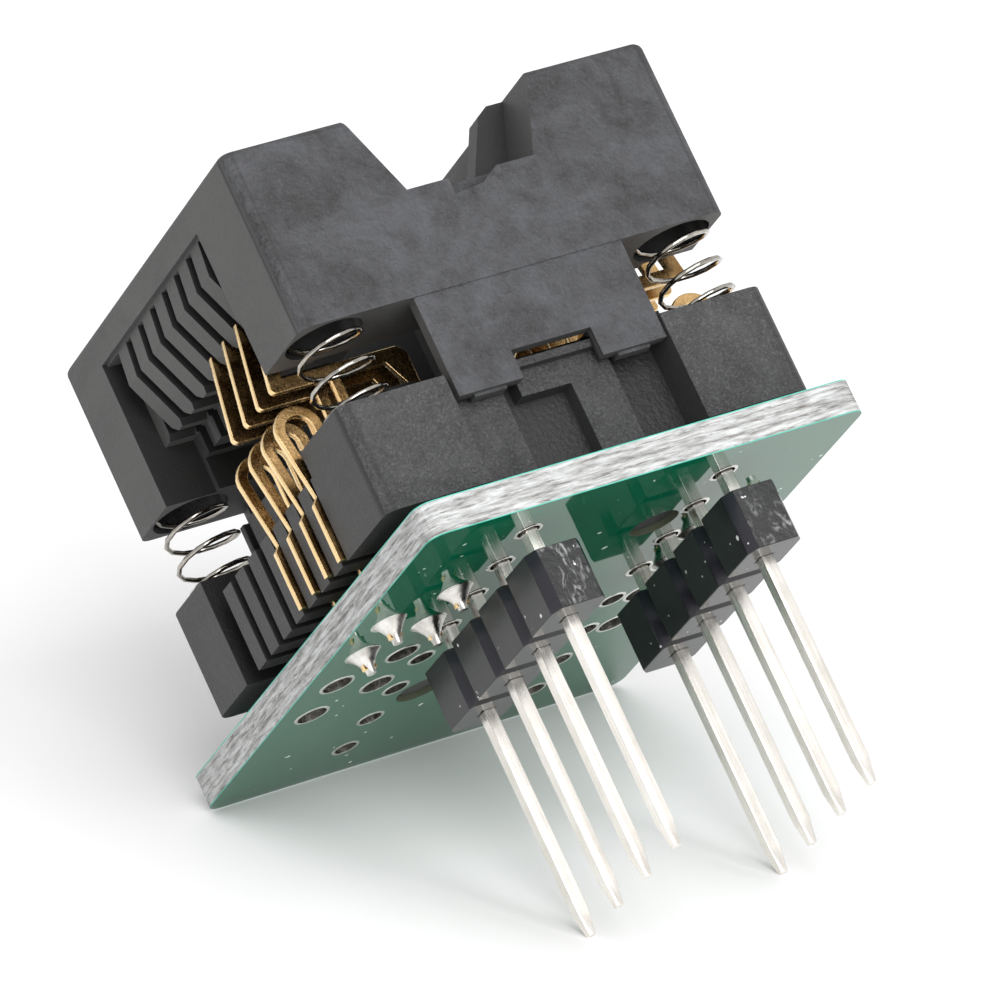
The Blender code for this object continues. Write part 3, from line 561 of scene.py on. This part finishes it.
def combine(item, steps):
    """Cut and join solids, one after the other, and keep the result as the piece's own mesh."""
    tools = []
    for operation, bm in steps:
        tool = shape("tool", bm)
        tools.append(tool)
        step = item.modifiers.new("step", "BOOLEAN")
        step.operation = operation
        step.solver = "EXACT"
        step.object = tool
    bpy.context.view_layer.update()
    result = bpy.data.meshes.new_from_object(item.evaluated_get(bpy.context.evaluated_depsgraph_get()))
    item.modifiers.clear()
    item.data = result
    for tool in tools:
        bpy.data.objects.remove(tool, do_unlink=True)


def turned(bm):
    """A copy of a solid, turned half way round the socket's upright axis."""
    copy = bm.copy()
    copy.transform(TURN)
    return copy


def cover_body():
    """Two walls with a sloping valley, rounded at the corners and along the outer rims."""
    right = [
        (HALF_WIDTH, COVER_BOTTOM),
        (HALF_WIDTH, COVER_TOP),
        (VALLEY_TOP, COVER_TOP),
        (VALLEY_FOOT, VALLEY_FLOOR),
    ]
    outline = right + [(-x, z) for x, z in reversed(right)]
    bm = prism(outline, SOCKET_Y - HALF_LENGTH, SOCKET_Y + HALF_LENGTH, "y")
    corners = []
    for edge in bm.edges:
        first, last = (vertex.co for vertex in edge.verts)
        if abs(first.x) > VALLEY_TOP + TOUCH and (first - last).xy.length < TOUCH:
            corners.append(edge)
    bmesh.ops.bevel(bm, geom=corners, offset=CORNER_RADIUS, segments=CORNER_SEGMENTS, profile=0.5,
                    affect="EDGES")
    rims = []
    for edge in bm.edges:
        first, last = (vertex.co for vertex in edge.verts)
        valley = abs(first.y - last.y) > HALF_LENGTH and abs(first.x) < VALLEY_TOP + TOUCH
        if min(first.z, last.z) > COVER_TOP - TOUCH and not valley:
            rims.append(edge)
    bmesh.ops.recalc_face_normals(bm, faces=bm.faces)
    bmesh.ops.bevel(bm, geom=rims, offset=RIM_RADIUS, segments=RIM_SEGMENTS, profile=0.5, affect="EDGES")
    return bm


def window_cuts():
    """The left side window, the slots between its fingers and the gap at its far end."""
    outer = -HALF_WIDTH - OVER
    frame_top = WINDOW_TOP - WINDOW_FRAME
    tip = WINDOW_TOP - TIP_DROP
    neck = tip + TIP_CHAMFER
    low = COVER_BOTTOM - OVER
    far_end = SOCKET_Y + LAST_CONTACT + LONG_REST
    opening = [
        (-CORE_WIDTH, low),
        (outer, low),
        (outer, WINDOW_TOP),
        (FINGER_BACK - HALF_WIDTH, WINDOW_TOP),
        (KNEE_BACK - HALF_WIDTH, WINDOW_TOP - KNEE_DROP),
        (TIP_BACK - HALF_WIDTH, tip),
        (-CORE_WIDTH, tip),
    ]
    cuts = [prism(opening, FIRST_Y - SHORT_REST, far_end, "y")]
    half = SLOT / 2
    wide = half + TIP_CHAMFER
    lever = half + LEVER_SIDE
    lever_high = LEVER_TOP + TRAVEL + LEVER_ROOM
    for index in range(PLACES):
        y = FIRST_Y + index * CONTACT_PITCH
        near = [(y - half, frame_top), (y - half, neck), (y - wide, tip), (y - wide, low)]
        far = [(y + wide, low), (y + wide, tip), (y + half, neck), (y + half, frame_top)]
        cuts.append(prism(near + far, outer, -CORE_WIDTH - SLOT_STOP, "x"))
        cuts.append(block((outer, y - lever, low), (OVER - POCKET_WIDTH, y + lever, lever_high)))
    gap_start = SOCKET_Y + LAST_CONTACT
    cuts.append(block((outer, gap_start, low), (END_GAP - HALF_WIDTH, far_end, frame_top)))
    return cuts


def valley_notch():
    """The notch in the ledge of the near valley."""
    top = VALLEY_FLOOR + OVER
    face = SOCKET_Y - HALF_LENGTH
    outline = [
        (-LEDGE_LEFT, top),
        (-LEDGE_LEFT, VALLEY_FLOOR - LEDGE_DEEP),
        (LEDGE_BEND, VALLEY_FLOOR - LEDGE_SHALLOW),
        (LEDGE_RIGHT, VALLEY_FLOOR),
        (LEDGE_RIGHT, top),
    ]
    return prism(outline, face - OVER, face + LEDGE_REACH, "y")


def guide_tabs():
    """The near end's two guide tabs, beside the pocket."""
    end = SOCKET_Y - POCKET_LENGTH - TAB_BACK
    foot = VALLEY_FLOOR - TAB_DEPTH / 2
    top = COVER_TOP - TAB_BELOW
    corner = TAB_INNER + TAB_RUN
    outline = [
        (TAB_INNER, foot),
        (VALLEY_TOP, foot),
        (VALLEY_TOP + TAB_DEPTH, top),
        (corner + TAB_CORNER, top),
        (corner, top - TAB_CORNER * TAB_SLOPE),
    ]
    tabs = []
    for side in (-1, 1):
        tabs.append(prism([(side * x, z) for x, z in outline], end - TAB_DEPTH, end, "y"))
    return tabs


def clip():
    """The near end's clip: a plate on two feet with a barb behind each."""
    inner = CLIP_WIDTH - FOOT_WIDTH
    half = [
        (CLIP_WIDTH, COVER_BOTTOM + CLIP_DEPTH),
        (CLIP_WIDTH, CLIP_LOW),
        (inner, CLIP_LOW),
        (inner, CLIP_LOW + NOTCH_RISE),
    ]
    outline = [(CLIP_CENTRE + x, z) for x, z in half] + [(CLIP_CENTRE - x, z) for x, z in reversed(half)]
    front = SOCKET_Y - HALF_LENGTH + CLIP_BACK
    back = front + CLIP_DEPTH
    solids = [prism(outline, front, back, "y")]
    barb = [
        (back - BARB_DEPTH, CLIP_LOW - BARB_DROP),
        (back + BARB_DEPTH / 2, CLIP_LOW - BARB_DROP),
        (back + BARB_DEPTH, CLIP_LOW),
        (back + BARB_DEPTH, CLIP_LOW + BARB_DEPTH),
        (back - BARB_DEPTH, CLIP_LOW + BARB_DEPTH),
    ]
    for side in (-1, 1):
        place = CLIP_CENTRE + side * (CLIP_WIDTH + inner) / 2
        solids.append(prism(barb, place - BARB_WIDTH / 2, place + BARB_WIDTH / 2, "x"))
    return solids


def spring_bores():
    """The four bores that the springs stand in."""
    bores = []
    profile = [(BORE_RADIUS, COVER_BOTTOM - OVER), (BORE_RADIUS, COVER_BOTTOM + BORE_DEPTH)]
    for x in (-SPRING_X, SPRING_X):
        for y in (SOCKET_Y - SPRING_Y, SOCKET_Y + SPRING_Y):
            bore = bmesh.new()
            lathe(bore, (x, y), profile, BORE_SIDES)
            bores.append(bore)
    return bores


def make_cover(material):
    """The cover, which stands for the plainer one of the CAD model."""
    cover = shape("cover", cover_body(), material)
    low = COVER_BOTTOM - OVER
    pocket = block((-POCKET_WIDTH, SOCKET_Y - POCKET_LENGTH, low),
                   (POCKET_WIDTH, SOCKET_Y + POCKET_LENGTH, COVER_TOP + OVER))
    core = CORE_WIDTH + CORE_ROOM
    core_room = block((-core, SOCKET_Y - CORE_LENGTH, low),
                      (core, SOCKET_Y + CORE_LENGTH, CORE_TOP + TRAVEL + LEVER_ROOM))
    steps = [("DIFFERENCE", pocket), ("DIFFERENCE", core_room)]
    for cut in window_cuts() + [valley_notch()]:
        steps += [("DIFFERENCE", turned(cut)), ("DIFFERENCE", cut)]
    for bore in spring_bores():
        steps.append(("DIFFERENCE", bore))
    for join in guide_tabs() + clip():
        steps += [("UNION", turned(join)), ("UNION", join)]
    combine(cover, steps)
    soften(cover, COVER_EDGE)
    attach(cover, "cover")
    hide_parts("actuator_cover")


def make_plating(material):
    """Plated barrels with a narrow ring on both faces of the board."""
    low = BOARD_LOW.z
    high = BOARD_HIGH.z
    bm = bmesh.new()
    for (x, y), radius in HOLES:
        inner = radius - PLATING
        outer = radius + RING_WIDTH
        profile = [
            (inner, low - RING_DEPTH),
            (outer - RING_DEPTH, low - RING_DEPTH),
            (outer, low),
            (radius, low),
            (radius, high),
            (outer, high),
            (outer - RING_DEPTH, high + RING_DEPTH),
            (inner, high + RING_DEPTH),
        ]
        lathe(bm, (x, y), profile, BARREL_SIDES, closed=True)
    new_piece("hole_plating", bm, material, "adapter")


def make_fillets(material):
    """Uneven hollow cones of solder round the contact tails."""
    for index, name in enumerate(names("tail_solder")):
        low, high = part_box(name)
        centre = ((low.x + high.x) / 2, (low.y + high.y) / 2)
        radius = (high.x - low.x) / 2
        height = BOARD_LOW.z - low.z
        top = BOARD_LOW.z + FILLET_SUNK
        # Each one has one of five lengths
        length = FILLET_SHORTEST + (1.0 - FILLET_SHORTEST) * ((index * 7) % 5) / 4
        profile = []
        for step in range(FILLET_RINGS + 1):
            share = step / FILLET_RINGS
            flare = (radius * FILLET_SPREAD - FILLET_TIP) * (1.0 - share) ** FILLET_CURVE
            profile.append((FILLET_TIP + flare, top - height * share * length))
        bm = bmesh.new()
        lathe(bm, centre, profile, FILLET_SIDES, FILLET_WOBBLE, index * FILLET_SEED)
        piece = new_piece(name.replace("tail_solder", "fillet"), bm, material, "adapter")
        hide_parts(name)


def make_springs(material):
    """Return springs with slimmer wire."""
    for name in names("return_spring"):
        bm = bmesh.new()
        bm.from_mesh(NODES[name].data)
        bmesh.ops.remove_doubles(bm, verts=bm.verts, dist=TOUCH)
        bm.normal_update()
        moves = [(vertex, vertex.normal * WIRE_THINNER) for vertex in bm.verts]
        for vertex, move in moves:
            vertex.co -= move
        piece = new_piece(name.replace("return_", ""), bm, material, "adapter")
        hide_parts(name)
        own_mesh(piece)


def make_stage():
    """A pale floor under the board's far edge and the tips of the far pins; gives its upward direction."""
    pins = [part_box(name) for name in names("header_pin")]
    tip = min(low.z for low, high in pins)
    pin_y = max(low.y + high.y for low, high in pins) / 2
    edge = Vector((0.0, BOARD_HIGH.y, BOARD_LOW.z))
    foot = Vector((0.0, pin_y, tip))
    across = Vector((1.0, 0.0, 0.0))
    along = (edge - foot).normalized()
    up = across.cross(along)
    place = Matrix.Translation(edge - up * FLOOR_GAP)
    turn = Matrix((across, along, up)).transposed().to_4x4()
    mesh = bpy.data.meshes.new("floor")
    bm = bmesh.new()
    bmesh.ops.create_grid(bm, x_segments=1, y_segments=1, size=FLOOR_SIZE, matrix=place @ turn)
    bm.to_mesh(mesh)
    bm.free()
    floor = bpy.data.objects.new("floor", mesh)
    bpy.context.scene.collection.objects.link(floor)

    # Pale from above, clear from below
    material = bpy.data.materials.new("floor_white")
    material.use_nodes = True
    tree = material.node_tree
    tree.nodes.clear()
    output = tree.nodes.new("ShaderNodeOutputMaterial")
    paper = tree.nodes.new("ShaderNodeBsdfDiffuse")
    paper.inputs["Color"].default_value = rgb(FLOOR_TONE, FLOOR_TONE, FLOOR_TONE)
    glow = tree.nodes.new("ShaderNodeEmission")
    glow.inputs["Strength"].default_value = FLOOR_GLOW
    both = tree.nodes.new("ShaderNodeAddShader")
    clear = tree.nodes.new("ShaderNodeBsdfTransparent")
    side = tree.nodes.new("ShaderNodeNewGeometry")
    pick = tree.nodes.new("ShaderNodeMixShader")
    tree.links.new(paper.outputs[0], both.inputs[0])
    tree.links.new(glow.outputs[0], both.inputs[1])
    tree.links.new(side.outputs["Backfacing"], pick.inputs[0])
    tree.links.new(both.outputs[0], pick.inputs[1])
    tree.links.new(clear.outputs[0], pick.inputs[2])
    tree.links.new(pick.outputs[0], output.inputs[0])
    mesh.materials.append(material)
    return up


def make_world():
    """Soft light that is brighter from the viewer's right, white behind the object."""
    world = bpy.data.worlds.new("studio")
    bpy.context.scene.world = world
    world.use_nodes = True
    tree = world.node_tree
    tree.nodes.clear()
    output = tree.nodes.new("ShaderNodeOutputWorld")
    place = tree.nodes.new("ShaderNodeTexCoord")
    toward = tree.nodes.new("ShaderNodeVectorMath")
    toward.operation = "DOT_PRODUCT"
    toward.inputs[1].default_value = BRIGHT_SIDE
    tree.links.new(place.outputs["Generated"], toward.inputs[0])
    ramp = tree.nodes.new("ShaderNodeMapRange")
    ramp.interpolation_type = "SMOOTHSTEP"
    ramp.inputs["From Min"].default_value = BRIGHT_RANGE[0]
    ramp.inputs["From Max"].default_value = BRIGHT_RANGE[1]
    ramp.inputs["To Min"].default_value = BRIGHTNESS[0]
    ramp.inputs["To Max"].default_value = BRIGHTNESS[1]
    tree.links.new(toward.outputs["Value"], ramp.inputs["Value"])
    soft = tree.nodes.new("ShaderNodeBackground")
    soft.inputs["Color"].default_value = rgb(1.0, 1.0, 1.0)
    tree.links.new(ramp.outputs[0], soft.inputs["Strength"])
    white = tree.nodes.new("ShaderNodeBackground")
    white.inputs["Color"].default_value = rgb(1.0, 1.0, 1.0)
    white.inputs["Strength"].default_value = 1.0
    path = tree.nodes.new("ShaderNodeLightPath")
    pick = tree.nodes.new("ShaderNodeMixShader")
    tree.links.new(path.outputs["Is Camera Ray"], pick.inputs[0])
    tree.links.new(soft.outputs[0], pick.inputs[1])
    tree.links.new(white.outputs[0], pick.inputs[2])
    tree.links.new(pick.outputs[0], output.inputs[0])


def make_lamp(name, place, aim, size, power):
    """A soft square lamp that looks at a point."""
    data = bpy.data.lights.new(name, "AREA")
    data.shape = "SQUARE"
    data.size = size
    data.energy = power
    lamp = bpy.data.objects.new(name, data)
    bpy.context.scene.collection.objects.link(lamp)
    lamp.location = place
    lamp.rotation_mode = "QUATERNION"
    lamp.rotation_quaternion = (aim - place).to_track_quat("-Z", "Y")


def make_camera():
    """The photograph's view."""
    data = bpy.data.cameras.new("camera")
    data.sensor_width = SENSOR
    data.sensor_fit = "HORIZONTAL"
    data.lens = CAMERA_LENS
    data.clip_start = CAMERA_NEAR
    data.clip_end = CAMERA_FAR
    camera = bpy.data.objects.new("camera", data)
    bpy.context.scene.collection.objects.link(camera)
    turn = Matrix((CAMERA_RIGHT, CAMERA_UP, CAMERA_BACK)).transposed()
    camera.matrix_world = Matrix.Translation(CAMERA_PLACE) @ turn.to_4x4()
    bpy.context.scene.camera = camera


def make_plastics():
    """The socket's two mouldings and the header strips."""
    base = moulded_plastic(
        "base_finish",
        end_tones=(rgb(0.036, 0.036, 0.037), rgb(0.066, 0.066, 0.068)),
        side_tones=(rgb(0.048, 0.048, 0.048), rgb(0.058, 0.058, 0.058)),
        speck_tone=rgb(0.2, 0.2, 0.21),
        speck_share=0.3,
        grain=2.4,
    )
    cover = moulded_plastic(
        "cover_finish",
        end_tones=(rgb(0.026, 0.026, 0.027), rgb(0.068, 0.069, 0.076)),
        side_tones=(rgb(0.068, 0.068, 0.067), rgb(0.086, 0.086, 0.084)),
        speck_tone=rgb(0.13, 0.13, 0.135),
        speck_share=0.25,
        grain=1.1,
    )
    dress("socket_base", base, BASE_EDGE)
    make_cover(cover)
    dress("header_strip", header_plastic(), HEADER_EDGE)


def make_metals():
    """Pins, contacts, springs, solder and the plating of the holes."""
    pin = plated_metal(
        "pin_finish",
        dark=rgb(0.78, 0.74, 0.68),
        light=rgb(0.92, 0.89, 0.84),
        roughness=(0.2, 0.32),
        grain=1200.0,
        stretch=(5000.0, 5000.0, 160.0),
        bump=0.000006,
    )
    steel = plated_metal(
        "spring_finish",
        dark=rgb(0.3, 0.28, 0.25),
        light=rgb(0.55, 0.52, 0.47),
        roughness=(0.08, 0.16),
        grain=3000.0,
        stretch=(4000.0, 4000.0, 4000.0),
        bump=0.000005,
    )
    solder = plated_metal(
        "solder_finish",
        dark=rgb(0.52, 0.5, 0.46),
        light=rgb(0.86, 0.84, 0.8),
        roughness=(0.22, 0.42),
        grain=2500.0,
        stretch=(2500.0, 2500.0, 2500.0),
        bump=0.00006,
    )
    plating = plated_metal(
        "plating_finish",
        dark=rgb(0.6, 0.58, 0.54),
        light=rgb(0.86, 0.85, 0.82),
        roughness=(0.16, 0.3),
        grain=3000.0,
        stretch=(3000.0, 3000.0, 3000.0),
        bump=0.00001,
    )
    dress("header_pin", pin, PIN_EDGE)
    dress("contact", contact_gold(), CONTACT_EDGE)
    make_springs(steel)
    dress("pin_solder", solder)
    make_plating(plating)
    make_fillets(solder)


def main():
    make_plastics()
    dress("circuit_board", solder_mask())
    make_metals()
    up = make_stage()
    make_world()
    make_lamp("key", LAMP_AIM + up * LAMP_RISE + LAMP_SHIFT, LAMP_AIM, LAMP_SIZE, LAMP_POWER)
    make_camera()
    bpy.context.scene.view_settings.view_transform = "Standard"


main()
